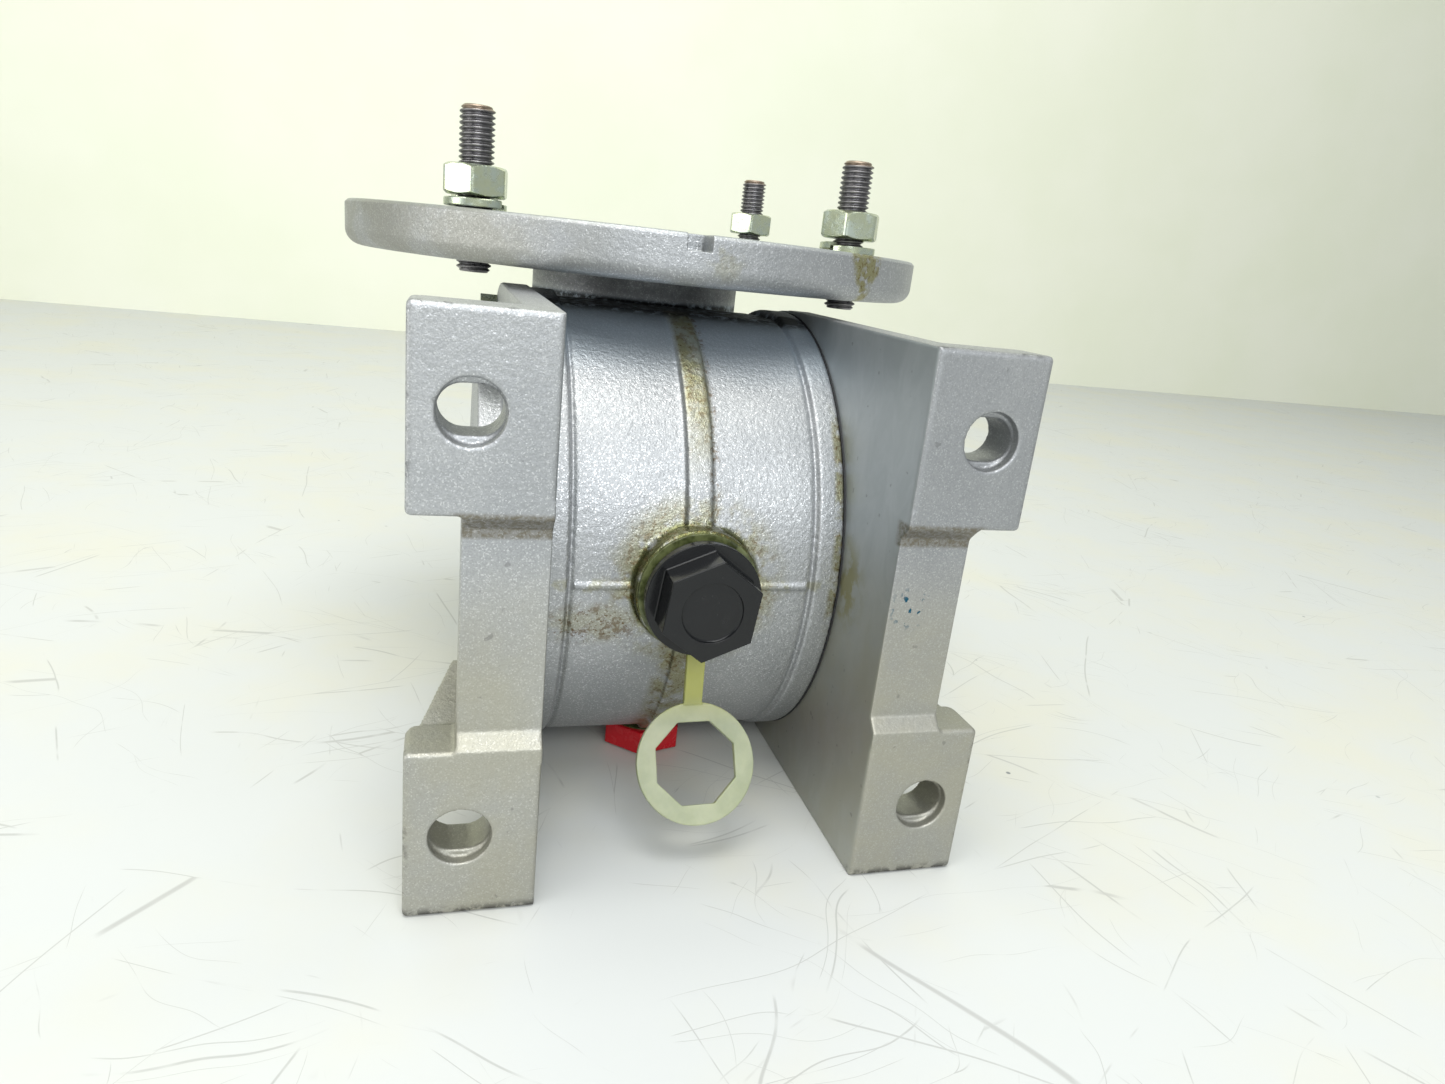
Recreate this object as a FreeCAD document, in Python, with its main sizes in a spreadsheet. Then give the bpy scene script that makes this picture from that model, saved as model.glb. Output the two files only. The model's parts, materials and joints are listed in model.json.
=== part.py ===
import FreeCAD, Part
import math
import os
import re

# Foot-mounted right-angle worm gear reducer.
# Millimetres. Origin: centre of the output bore. X runs along the output bore, Z up along the worm,
# and the feet face -Y. The reducer stands on the lower edges of its two covers and on the worm tube.

Vector = FreeCAD.Vector
Rotation = FreeCAD.Rotation
doc = FreeCAD.newDocument("worm_gear_reducer")

# ---------------------------------------------------------------- driving dimensions
SIZES = {
    "centre_distance": 50, "overshoot": 2,    # how far a cutter runs past what it cuts
    # gear case
    "case_half": 42.5, "drum_radius": 71.2, "band_radius": 72, "band_inner": 35, "groove_radius": 70.4,
    "groove_inner": 33.6, "rib_half": 3.5, "rib_radius": 72.6, "top_flat_height": 69.5,
    "chamber_radius": 58.5, "wheel_window_radius": 43.5, "wheel_window_half": 12, "spacer_window_radius": 24,
    "spacer_window_half": 34,
    "tube_radius": 32, "tube_bottom": -72.7, "neck_radius": 37.5, "neck_bottom": 50, "neck_top": 78,
    "worm_bore_radius": 18, "seam_height": 0.7, "seam_half": 0.5,
    "boss_face": 75.5, "boss_radius": 17.4, "boss_root": 63.5,
    "drain_centre": -24, "drain_seat": -64, "drain_pocket_radius": 15.5, "drain_hole_depth": 15,
    # covers with feet
    "gasket_thickness": 0.5, "cover_inner": 43, "cover_outer": 51, "cover_radius": 72.4, "cover_half": 72.7,
    "foot_face": 106, "web_outer": 62.8, "web_recess": 3.4, "web_back": 92, "web_overlap": 4,
    "foot_outer": 74.4, "foot_inner": 28.3, "edge_round": 1.2, "back_chamfer": 2.2,
    "gusset_thickness": 10, "gusset_start_x": 72.2, "gusset_end": 49, "gusset_end_x": 57.5,
    "gusset_end_low": 17, "gusset_end_high": 29,
    "spigot_radius": 58.4, "spigot_inner": 52, "spigot_depth": 6, "housing_radius": 35, "hub_boss_radius": 50,
    "hub_boss_outer": 58, "slot_x": 61.4, "slot_z": 51, "slot_radius": 5.5, "slot_travel": 3.1,
    "slot_mouth_radius": 7.4, "slot_mouth_depth": 3,
    # cover bolts, M8
    "bolt_circle": 65.2, "bolt_radius": 4, "bolt_clearance": 4.4, "bolt_flats": 13, "bolt_head": 5.3,
    "bolt_length": 20, "bolt_hole_depth": 16, "bolt_crown_radius": 7.1, "spot_face_radius": 8.1,
    # output shaft and wheel
    "output_bore": 12.5, "output_radius": 17.5, "output_half": 60, "hub_seat_radius": 21, "hub_half": 10,
    "bore_key_half": 4, "bore_key_top": 15.8, "hub_radius": 29, "hub_web_half": 6,
    "hub_core_radius": 25, "hub_key_half_length": 9, "hub_key_half": 3, "hub_key_low": 19,
    "hub_key_high": 23.5,
    "gear_module": 2.5, "wheel_teeth": 30, "rim_half": 8, "play": 0.15,
    # worm shaft
    "worm_pitch_radius": 12.5, "thread_turns": 4.5, "relief_half": 21, "worm_low_radius": 12,
    "worm_high_radius": 13, "collar_radius": 17.3, "collar_bottom": 40, "input_radius": 15,
    "input_top": 87, "input_bore": 9.5, "input_bore_bottom": 46, "input_key_half": 3, "input_key_top": 12.3,
    "low_journal": 10, "worm_bottom": -64,
    # bearings: width, bore radius, outer radius, ball radius, ring land
    "out_width": 14, "out_bearing_radius": 31, "out_pitch": 24.25, "out_ball": 3.95,
    "top_width": 13, "top_bearing_radius": 27.5, "top_pitch": 21.25, "top_ball": 3.55, "top_start": 53,
    "low_width": 14, "low_bearing_radius": 23.5, "low_pitch": 16.75, "low_ball": 3.95, "low_start": -62,
    "race_gap": 0.06, "ring_land": 2.3, "cage_half": 0.9, "cage_reach": 1.2,
    # seals, circlips, end cap
    "seal_width": 7, "seal_gap": 0.05, "out_seal_radius": 26, "seal_wall": 1.6, "out_shoulder_radius": 24,
    "circlip_thickness": 1.75, "circlip_bite": 1.2, "circlip_inset": 3, "circlip_gap": 6,
    "cap_inset": 0.7, "cap_height": 7, "cap_wall": 2,
    # input flange, IEC B5 type; its stud circle and notch sit a degree off the neck's axes
    "flange_bottom": 78.5, "flange_top": 92.5, "flange_radius": 100, "register_radius": 65,
    "register_depth": 4.5, "flange_bore": 22, "flange_round": 5, "flange_chamfer": 1,
    "flange_twist": -1.15, "notch_half": 3.5, "notch_depth": 4.6, "notch_length": 12,
    "stud_circle": 82.5, "stud_radius": 5, "stud_bottom": 75.2, "stud_top": 120.4, "stud_chamfer": 1.2,
    "nut_flats": 17, "nut_height": 8.4, "nut_cone_wide": 13.5, "nut_cone_narrow": 8.3,
    "spring_washer": 2.2, "spring_washer_radius": 9, "washer_bore": 5.4, "washer_tilt": 3.6,
    "washer_slit_half": 0.6,
    "screw_circle": 32.5, "screw_radius": 3, "screw_clearance": 3.3, "screw_head_radius": 5,
    "screw_seat_radius": 5.5, "screw_head": 6, "screw_length": 16, "screw_hole_depth": 17,
    "screw_seat": 81.5, "screw_socket_flats": 5, "screw_socket": 3,
    # plugs and plug keeper
    "plug_thread": 10.5, "plug_thread_length": 13, "plug_washer": 1.5, "plug_washer_radius": 16.8,
    "keeper_thickness": 2, "plug_collar_radius": 15.9, "plug_collar": 3, "plug_flats": 24.3,
    "plug_turn": -23, "plug_head": 9, "plug_dimple_radius": 8.2, "plug_dimple": 0.8,
    "keeper_ring": 16.6, "keeper_hole_flats": 22.2, "keeper_eye": 14, "keeper_overlap": 1, "strap_half": 2.6,
    "strap_bottom": -32.4, "keeper_tilt": 30, "keeper_swing": -1.5,
    "drain_thread": 8, "drain_flats": 24, "drain_turn": 16.5, "drain_head": 7.8, "drain_washer": 0.4,
    "drain_washer_radius": 11, "drain_thread_length": 9,
}
sheet = doc.addObject("Spreadsheet::Sheet", "Sizes")
for row, (alias, number) in enumerate(SIZES.items(), start=1):
    sheet.set("A%d" % row, alias)
    sheet.set("B%d" % row, str(number))
    sheet.setAlias("B%d" % row, alias)
doc.recompute()


def full(text):
    """An expression with each driving dimension written as a reference to its cell."""
    def reference(word):
        return "Sizes." + word[0] if word[0] in SIZES else word[0]
    return re.sub(r"[a-z][a-z_]*", reference, str(text))


def bind(item, prop, text):
    item.setExpression(prop, full(text))


def value(text):
    """The present number of an expression in driving dimensions."""
    return float(sheet.evalExpression(full(text)))


# ---------------------------------------------------------------- building blocks
TURNS = {
    "x": Rotation(Vector(0, 1, 0), 90),
    "y": Rotation(Vector(1, 0, 0), -90),
    "z": Rotation(),
}
ORIGIN = ("0", "0", "0")
WORM_AXIS = ("0", "centre_distance", "0")
NODES = []


def node(item, label):
    """Name a finished sub-part and list it for export."""
    item.Label = label
    NODES.append(item)
    return item


def place(item, axis, start, centre, spin=0):
    """Spin an object about its own Z, turn that to an axis and start it that far from a centre."""
    item.Placement = FreeCAD.Placement(Vector(), TURNS[axis] * Rotation(Vector(0, 0, 1), spin))
    for letter, middle in zip("xyz", centre):
        offset = " + (%s)" % start if letter == axis else ""
        bind(item, "Placement.Base." + letter, "(%s)%s" % (middle, offset))
    return item


def cylinder(axis, start, end, radius, centre=ORIGIN):
    item = doc.addObject("Part::Cylinder", "Cylinder")
    bind(item, "Radius", radius)
    bind(item, "Height", "(%s) - (%s)" % (end, start))
    return place(item, axis, start, centre)


def box(x, y, z):
    """A box from three (low, high) pairs of expressions."""
    item = doc.addObject("Part::Box", "Box")
    for prop, letter, (low, high) in zip(("Length", "Width", "Height"), "xyz", (x, y, z)):
        bind(item, prop, "(%s) - (%s)" % (high, low))
        bind(item, "Placement.Base." + letter, low)
    return item


def prism(sides, axis, start, end, flats, centre=ORIGIN, spin=0):
    """A regular prism by its width across flats; its spin turns the first corner away from +X."""
    item = doc.addObject("Part::Prism", "Prism")
    item.Polygon = sides
    bind(item, "Circumradius", "(%s) / 2 / cos(%g deg)" % (flats, 180 / sides))
    bind(item, "Height", "(%s) - (%s)" % (end, start))
    return place(item, axis, start, centre, spin)


def hexagon(axis, start, end, flats, centre=ORIGIN, spin=0):
    return prism(6, axis, start, end, flats, centre, spin)


def ball(centre, radius):
    item = doc.addObject("Part::Sphere", "Sphere")
    bind(item, "Radius", radius)
    for letter, middle in zip("xyz", centre):
        bind(item, "Placement.Base." + letter, middle)
    return item


def race(axis, middle, pitch, tube, centre=ORIGIN):
    """The ring-shaped groove that a row of balls runs in."""
    item = doc.addObject("Part::Torus", "Race")
    bind(item, "Radius1", pitch)
    bind(item, "Radius2", tube)
    return place(item, axis, middle, centre)


def fuse(*items):
    if len(items) == 1:
        return items[0]
    item = doc.addObject("Part::MultiFuse", "Fusion")
    item.Shapes = list(items)
    item.Refine = True
    return item


def cut(base, *tools):
    item = doc.addObject("Part::Cut", "Cut")
    item.Base = base
    item.Tool = fuse(*tools)
    item.Refine = True
    return item


def common(base, tool):
    item = doc.addObject("Part::MultiCommon", "Common")
    item.Shapes = [base, tool]
    return item


def group(*items):
    """Separate solids kept in one sub-part."""
    item = doc.addObject("Part::Compound", "Group")
    item.Links = list(items)
    return item


def mirrored(source):
    """The same shape on the other side of the X = 0 plane."""
    item = doc.addObject("Part::Mirroring", "Mirror")
    item.Source = source
    item.Normal = (1, 0, 0)
    item.Base = (0, 0, 0)
    return item


def turned(axis, steps, centre=ORIGIN):
    """A solid of revolution made of steps, each (start, end, radius) along the axis."""
    return fuse(*[cylinder(axis, start, end, radius, centre) for start, end, radius in steps])


def edges_at(shape, axis, position, radius=None):
    """Numbers of the edges that lie in one plane across an axis, or only the circle of a radius there."""
    found = []
    for number, edge in enumerate(shape.Edges, start=1):
        low, high = edge.BoundBox.getPoint(0), edge.BoundBox.getPoint(6)
        flat = abs(getattr(low, axis) - position) < 1e-3 and abs(getattr(high, axis) - position) < 1e-3
        round_enough = radius is None or abs(getattr(edge.Curve, "Radius", 0) - radius) < 1e-3
        if flat and round_enough:
            found.append(number)
    return found


def dressed(kind, base, edge_numbers, amount):
    """A Part::Fillet or Part::Chamfer on numbered edges."""
    item = doc.addObject(kind, "Edges")
    item.Base = base
    item.Edges = [(number, amount, amount) for number in edge_numbers]
    return item


def around(count, first_degrees, radius_text):
    """Points of a circle as pairs of expressions, for bolt circles and balls."""
    for number in range(count):
        angle = first_degrees + number * 360 / count
        yield "(%s) * cos(%g deg)" % (radius_text, angle), "(%s) * sin(%g deg)" % (radius_text, angle)


# ---------------------------------------------------------------- fastener positions
BOLTS = [("0", y, z) for y, z in around(8, 22.5, "bolt_circle")]
FRONT_BOLTS = BOLTS[3:5]    # the two beside the gussets
STUDS = [(x, "centre_distance + " + y, "0") for x, y in around(4, 45 + value("flange_twist"), "stud_circle")]
SCREWS = [(x, "centre_distance + " + y, "0") for x, y in around(4, 0, "screw_circle")]
FEET = [("slot_x", "0", "slot_z"), ("slot_x", "0", "-slot_z")]


# ---------------------------------------------------------------- gear case
def gear_case():
    """Drum with bands, grooves and a rib, a neck for the input flange and a tube around the worm."""
    drum = turned("x", [
        ("-case_half", "-band_inner", "band_radius"), ("-band_inner", "-groove_inner", "groove_radius"),
        ("-groove_inner", "groove_inner", "drum_radius"), ("-rib_half", "rib_half", "rib_radius"),
        ("groove_inner", "band_inner", "groove_radius"), ("band_inner", "case_half", "band_radius"),
    ])
    top_flat = box(("-band_inner", "band_inner"), ("-band_radius", "band_radius"),
                   ("top_flat_height", "band_radius + overshoot"))
    seam = box(("-groove_inner", "groove_inner"), ("-drum_radius - seam_height", "-boss_root"),
               ("-seam_half", "seam_half"))
    boss = cylinder("y", "-boss_face", "-boss_root", "boss_radius")
    outside = fuse(cut(drum, top_flat), seam, boss)
    chamber = cylinder("x", "-case_half - overshoot", "case_half + overshoot", "chamber_radius")
    shell = cut(outside, chamber)
    tube = cylinder("z", "tube_bottom", "neck_bottom", "tube_radius", WORM_AXIS)
    neck = cylinder("z", "neck_bottom", "neck_top", "neck_radius", WORM_AXIS)
    worm_space = turned("z", [
        ("tube_bottom - overshoot", "low_start + low_width", "low_bearing_radius"),
        ("low_start", "top_start + overshoot", "worm_bore_radius"),
        ("top_start", "neck_top + overshoot", "top_bearing_radius"),
        ("low_start - circlip_thickness", "low_start", "low_bearing_radius + circlip_bite"),
        ("top_start + top_width", "top_start + top_width + circlip_thickness",
         "top_bearing_radius + circlip_bite"),
    ], WORM_AXIS)
    wheel_window = turned("x", [
        ("-spacer_window_half", "spacer_window_half", "spacer_window_radius"),
        ("-wheel_window_half", "wheel_window_half", "wheel_window_radius"),
    ])
    cover_side_holes = []
    for centre in BOLTS:
        for start, end in (("case_half - bolt_hole_depth", "case_half + overshoot"),
                           ("-case_half - overshoot", "-case_half + bolt_hole_depth")):
            cover_side_holes.append(cylinder("x", start, end, "bolt_radius", centre))
    screw_holes = [cylinder("z", "screw_seat - screw_hole_depth", "neck_top + overshoot", "screw_radius",
                            centre) for centre in SCREWS]
    fill_hole = cylinder("y", "-boss_face - overshoot", "overshoot - chamber_radius", "plug_thread")
    drain_pocket = cylinder("z", "-band_radius - overshoot", "drain_seat", "drain_pocket_radius",
                            ("0", "drain_centre", "0"))
    drain_hole = cylinder("z", "drain_seat - overshoot", "drain_seat + drain_hole_depth", "drain_thread",
                          ("0", "drain_centre", "0"))
    body = cut(fuse(shell, tube, neck), worm_space, wheel_window, fill_hole, drain_pocket, drain_hole,
               *cover_side_holes, *screw_holes)
    node(body, "gear_case")


# ---------------------------------------------------------------- foot covers
def foot_block(sign):
    """One foot of the right cover: a rounded pad, its tapered gusset and the slope down to the front web."""
    low, high = ("foot_inner", "cover_half") if sign > 0 else ("-cover_half", "-foot_inner")
    pad = box(("cover_inner", "foot_outer"), ("-foot_face", "-web_back"), (low, high))
    doc.recompute()
    back = edges_at(pad.Shape, "y", value("-web_back"))
    corner = [number for number in edges_at(pad.Shape, "x", value("foot_outer")) if number in back]
    chamfered = dressed("Part::Chamfer", pad, corner, value("back_chamfer"))
    doc.recompute()
    front = edges_at(chamfered.Shape, "y", value("-foot_face"))
    back = edges_at(chamfered.Shape, "y", value("-web_back - back_chamfer"))
    outer = edges_at(chamfered.Shape, "x", value("foot_outer"))
    along = [number for number in outer if number not in front + back]
    block = dressed("Part::Fillet", chamfered, front + along, value("edge_round"))
    gusset = doc.addObject("Part::Wedge", "Gusset")
    bind(gusset, "Ymin", "-web_back - overshoot")
    bind(gusset, "Ymax", "-gusset_end")
    near = ("foot_inner + edge_round", "foot_inner + gusset_thickness")
    far = ("gusset_end_low", "gusset_end_high")
    if sign < 0:
        near = ("-foot_inner - gusset_thickness", "-foot_inner - edge_round")
        far = ("-gusset_end_high", "-gusset_end_low")
    for prop, text in (("Xmin", "cover_inner"), ("X2min", "cover_inner"), ("Xmax", "gusset_start_x"),
                       ("X2max", "gusset_end_x"), ("Zmin", near[0]), ("Zmax", near[1]),
                       ("Z2min", far[0]), ("Z2max", far[1])):
        bind(gusset, prop, text)
    slope = doc.addObject("Part::Wedge", "Slope")
    bind(slope, "Ymin", "-foot_face")
    bind(slope, "Ymax", "web_recess - foot_face")
    inside = "foot_inner + web_overlap"
    ends = (("foot_inner", inside), ("foot_inner - web_recess", inside))
    if sign < 0:
        inside = "-foot_inner - web_overlap"
        ends = ((inside, "-foot_inner"), (inside, "web_recess - foot_inner"))
    for prop, text in (("Xmin", "cover_inner"), ("X2min", "cover_inner"), ("Xmax", "web_outer"),
                       ("X2max", "web_outer"), ("Zmin", ends[0][0]), ("Zmax", ends[0][1]),
                       ("Z2min", ends[1][0]), ("Z2max", ends[1][1])):
        bind(slope, prop, text)
    return [block, gusset, slope]


def foot_slot(centre):
    """A slot along X behind a shallow round mouth."""
    x, _, z = centre
    start, end = "-foot_face - overshoot", "overshoot - web_back"
    tools = [cylinder("y", start, "-foot_face + slot_mouth_depth", "slot_mouth_radius", centre)]
    for side in ("+", "-"):
        half = ("%s %s slot_travel / 2" % (x, side), "0", z)
        tools.append(cylinder("y", start, end, "slot_radius", half))
    tools.append(box(("slot_x - slot_travel / 2", "slot_x + slot_travel / 2"), (start, end),
                     ("%s - slot_radius" % z, "%s + slot_radius" % z)))
    return tools


def foot_covers():
    """Side covers that close the drum, carry the output bearings and end in two slotted feet each."""
    plate = fuse(cylinder("x", "cover_inner", "cover_outer", "cover_radius"),
                 box(("cover_inner", "cover_outer"), ("web_recess - foot_face", "0"),
                     ("-cover_half", "cover_half")))
    web = box(("cover_inner", "web_outer"), ("web_recess - foot_face", "-web_back"),
              ("-foot_inner - web_overlap", "foot_inner + web_overlap"))
    spigot = cut(cylinder("x", "cover_inner - spigot_depth", "cover_inner", "spigot_radius"),
                 cylinder("x", "cover_inner - spigot_depth - overshoot", "cover_inner + overshoot",
                          "spigot_inner"))
    hub = turned("x", [("cover_inner - out_width", "cover_outer", "housing_radius"),
                       ("cover_outer", "hub_boss_outer", "hub_boss_radius")])
    bore = turned("x", [
        ("cover_inner - out_width - overshoot", "cover_inner", "out_bearing_radius"),
        ("cover_inner - overshoot", "hub_boss_outer + overshoot", "out_shoulder_radius"),
        ("hub_boss_outer - seal_width", "hub_boss_outer + overshoot", "out_seal_radius"),
    ])
    bolt_holes = [cylinder("x", "cover_inner - overshoot", "cover_outer + overshoot", "bolt_clearance",
                           centre) for centre in BOLTS]
    spot_faces = [cylinder("x", "cover_outer", "web_outer + overshoot", "spot_face_radius", centre)
                  for centre in FRONT_BOLTS]
    slots = foot_slot(FEET[0]) + foot_slot(FEET[1])
    feet = foot_block(1) + foot_block(-1)
    right = cut(fuse(plate, web, spigot, hub, *feet), bore, *bolt_holes, *spot_faces, *slots)
    node(right, "right_foot_cover")
    node(mirrored(right), "left_foot_cover")

    ring = cut(cylinder("x", "case_half", "case_half + gasket_thickness", "band_radius"),
               cylinder("x", "case_half - overshoot", "cover_inner + overshoot", "chamber_radius"),
               *[cylinder("x", "case_half - overshoot", "cover_inner + overshoot", "bolt_radius", centre)
                 for centre in BOLTS])
    node(ring, "right_cover_gasket")
    node(mirrored(ring), "left_cover_gasket")

    bolts = []
    for centre in BOLTS:
        head = hexagon("x", "cover_outer", "cover_outer + bolt_head", "bolt_flats", centre)
        crown = cylinder("x", "cover_outer", "cover_outer + bolt_head", "bolt_crown_radius", centre)
        shank = cylinder("x", "cover_outer - bolt_length", "cover_outer", "bolt_radius", centre)
        bolts.append(fuse(common(head, crown), shank))
    right_bolts = group(*bolts)
    node(right_bolts, "right_cover_bolts")
    node(mirrored(right_bolts), "left_cover_bolts")


# ---------------------------------------------------------------- output shaft and worm wheel
def output_group():
    """Hollow output shaft, its hub and bronze rim, spacers and key."""
    shaft = turned("x", [("-output_half", "output_half", "output_radius"),
                         ("-hub_half", "hub_half", "hub_seat_radius")])
    bore = cylinder("x", "-output_half - overshoot", "output_half + overshoot", "output_bore")
    keyway = box(("-output_half - overshoot", "output_half + overshoot"), ("-bore_key_half", "bore_key_half"),
                 ("0", "bore_key_top"))
    key_seat = (("-hub_key_half_length", "hub_key_half_length"), ("-hub_key_half", "hub_key_half"))
    under_key = box(*key_seat, ("-hub_key_high", "-hub_key_low"))
    node(cut(shaft, bore, keyway, under_key), "output_shaft")
    node(box(*key_seat, ("-hub_key_high", "-hub_key_low")), "hub_key")

    hub = turned("x", [("-hub_half", "hub_half", "hub_core_radius"),
                       ("-hub_web_half", "hub_web_half", "hub_radius")])
    hub_bore = cylinder("x", "-hub_half - overshoot", "hub_half + overshoot", "hub_seat_radius")
    hub_slot = box(*key_seat, ("-hub_key_high", "-hub_key_low"))
    node(cut(hub, hub_bore, hub_slot), "wheel_hub")

    spacer = cut(cylinder("x", "hub_half", "cover_inner - out_width", "hub_seat_radius"),
                 cylinder("x", "hub_half - overshoot", "cover_inner", "output_radius"))
    node(spacer, "right_spacer")
    node(mirrored(spacer), "left_spacer")


def origin_plane(body, role):
    return next(feature for feature in body.Origin.OriginFeatures if feature.Role == role)


# the half width of a gap between the wheel's teeth, in modules, at its root, on the pitch circle,
# at the tip and one module outside it
GAP_SHARES = (0.52, math.pi / 4, 1.31, 2.1)
DEDENDUM = 1.25         # depth of the wheel's gaps below the pitch circle, in modules
WORM_DEDENDUM = 1.2     # depth of the worm's thread below its pitch radius, in modules
THREAD_SINK = 0.4       # the worm's thread starts this deep in its shaft, so that the two fuse
FLANK_SLOPE = math.tan(math.radians(20))


def wheel_rim():
    """Bronze rim with a polar pattern of tooth gaps that lie along the worm's lead angle."""
    module = value("gear_module")
    pitch = value("gear_module * wheel_teeth / 2")
    tip, root = pitch + module, pitch - DEDENDUM * module
    play = value("play")
    lead_angle = math.atan(module / (2 * value("worm_pitch_radius")))

    body = doc.addObject("PartDesign::Body", "WheelRim")
    blank = body.newObject("Sketcher::SketchObject", "RimSection")
    blank.AttachmentSupport = (origin_plane(body, "YZ_Plane"), [""])
    blank.MapMode = "FlatFace"
    for radius in (tip, value("hub_radius")):
        blank.addGeometry(Part.Circle(Vector(), Vector(0, 0, 1), radius), False)
    pad = body.newObject("PartDesign::Pad", "RimBlank")
    pad.Profile = blank
    pad.SideType = "Symmetric"
    bind(pad, "Length", "2 * rim_half")

    half_gaps = [(radius, share * module + play) for radius, share in
                 zip((root, pitch, tip, tip + module), GAP_SHARES)]
    outline = [Vector(side * half, radius, 0) for side, rows in ((1, half_gaps), (-1, half_gaps[::-1]))
               for radius, half in rows]
    gap = body.newObject("Sketcher::SketchObject", "GapSection")
    gap.AttachmentSupport = (origin_plane(body, "YZ_Plane"), [""])
    gap.MapMode = "FlatFace"
    for start, end in zip(outline, outline[1:] + outline[:1]):
        gap.addGeometry(Part.LineSegment(start, end), False)
    doc.recompute()
    pocket = body.newObject("PartDesign::Pocket", "Gap")
    pocket.Profile = gap
    pocket.SideType = "Symmetric"
    pocket.UseCustomVector = True
    pocket.Direction = Vector(1, -math.tan(lead_angle), 0)
    bind(pocket, "Length", "4 * rim_half")
    doc.recompute()
    teeth = body.newObject("PartDesign::PolarPattern", "Teeth")
    teeth.Originals = [pocket]
    teeth.Axis = (origin_plane(body, "X_Axis"), [""])
    teeth.Angle = 360
    teeth.Occurrences = int(value("wheel_teeth"))
    body.Tip = teeth
    node(body, "wheel_rim")
    return pad, pocket, teeth


# ---------------------------------------------------------------- worm shaft
def worm_shaft():
    """Hollow-ended worm shaft with one right-hand thread of trapezoid section."""
    steps = turned("z", [
        ("worm_bottom", "low_start + low_width", "low_journal"),
        ("low_start + low_width", "-relief_half", "worm_low_radius"),
        ("-relief_half", "relief_half", "worm_pitch_radius - %g * gear_module" % WORM_DEDENDUM),
        ("relief_half", "collar_bottom", "worm_high_radius"),
        ("collar_bottom", "top_start", "collar_radius"),
        ("top_start", "input_top", "input_radius"),
    ], WORM_AXIS)
    module = value("gear_module")
    pitch = math.pi * module
    radius = value("worm_pitch_radius")
    play = value("play")
    sunk = radius - WORM_DEDENDUM * module - THREAD_SINK
    helix = doc.addObject("Part::Helix", "ThreadPath")
    helix.Pitch = pitch
    helix.Height = pitch * value("thread_turns")
    helix.Radius = radius
    helix.SegmentLength = 1
    half_pitch_line = math.pi * module / 4 - play
    half_tip = half_pitch_line - module * FLANK_SLOPE
    half_core = half_pitch_line + (radius - sunk) * FLANK_SLOPE
    section = doc.addObject("Part::Polygon", "ThreadSection")
    section.Nodes = [Vector(sunk, 0, -half_core), Vector(radius + module, 0, -half_tip),
                     Vector(radius + module, 0, half_tip), Vector(sunk, 0, half_core)]
    section.Close = True
    thread = doc.addObject("Part::Sweep", "Thread")
    thread.Sections = [section]
    thread.Spine = (helix, [])
    thread.Solid = True
    thread.Frenet = True
    # the half turn over puts a gap, not the thread, on the wheel side at Z = 0
    place(thread, "z", "-thread_turns / 2 * pi * gear_module", WORM_AXIS)
    bore = cylinder("z", "input_bore_bottom", "input_top + overshoot", "input_bore", WORM_AXIS)
    keyway = box(("0", "input_key_top"),
                 ("centre_distance - input_key_half", "centre_distance + input_key_half"),
                 ("input_bore_bottom", "input_top + overshoot"))
    node(cut(fuse(steps, thread), bore, keyway), "worm_shaft")


# ---------------------------------------------------------------- bearings
def bearing(label, axis, start, width, bore, outside, pitch, ball_radius, balls, centre=ORIGIN):
    """A deep-groove ball bearing as three sub-parts: outer ring, inner ring, and balls in their cage."""
    end = "%s + %s" % (start, width)
    middle = "%s + %s / 2" % (start, width)
    groove = "%s + race_gap" % ball_radius
    before, after = start + " - overshoot", end + " + overshoot"
    outer = cut(cylinder(axis, start, end, outside, centre),
                cylinder(axis, before, after, "%s + ring_land" % pitch, centre),
                race(axis, middle, pitch, groove, centre))
    inner = cut(cylinder(axis, start, end, "%s - ring_land" % pitch, centre),
                cylinder(axis, before, after, bore, centre),
                race(axis, middle, pitch, groove, centre))
    node(outer, label + "_outer_ring")
    node(inner, label + "_inner_ring")
    spheres, pockets = [], []
    for across, along in around(balls, 0, pitch):
        if axis == "x":
            spot = (middle, "(%s) + %s" % (centre[1], across), "(%s) + %s" % (centre[2], along))
        else:
            spot = ("(%s) + %s" % (centre[0], across), "(%s) + %s" % (centre[1], along), middle)
        spheres.append(ball(spot, ball_radius))
        pockets.append(ball(spot, groove))
    reach = "cage_reach * %s" % ball_radius
    cage = cut(cylinder(axis, "%s - %s" % (middle, reach), "%s + %s" % (middle, reach),
                        "%s + cage_half" % pitch, centre),
               cylinder(axis, start, end, "%s - cage_half" % pitch, centre), *pockets)
    node(group(cage, *spheres), label + "_balls")


def bearings():
    bearing("right_output", "x", "cover_inner - out_width", "out_width", "output_radius",
            "out_bearing_radius", "out_pitch", "out_ball", 11)
    bearing("left_output", "x", "-cover_inner", "out_width", "output_radius",
            "out_bearing_radius", "out_pitch", "out_ball", 11)
    bearing("top_worm", "z", "top_start", "top_width", "input_radius",
            "top_bearing_radius", "top_pitch", "top_ball", 11, WORM_AXIS)
    bearing("low_worm", "z", "low_start", "low_width", "low_journal",
            "low_bearing_radius", "low_pitch", "low_ball", 8, WORM_AXIS)


# ---------------------------------------------------------------- seals, circlips, end cap
def seal(axis, start, inside, outside, centre=ORIGIN):
    """A shaft seal: a cased ring with a lip, open on one side."""
    end = "%s + seal_width" % start
    before, after = start + " - overshoot", end + " + overshoot"
    ring = cut(cylinder(axis, start, end, outside, centre),
               cylinder(axis, before, after, inside + " + seal_gap", centre))
    hollow = cut(cylinder(axis, before, "%s - seal_wall" % end, outside + " - seal_wall", centre),
                 cylinder(axis, before + " - overshoot", end, inside + " + seal_wall", centre))
    return cut(ring, hollow)


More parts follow.
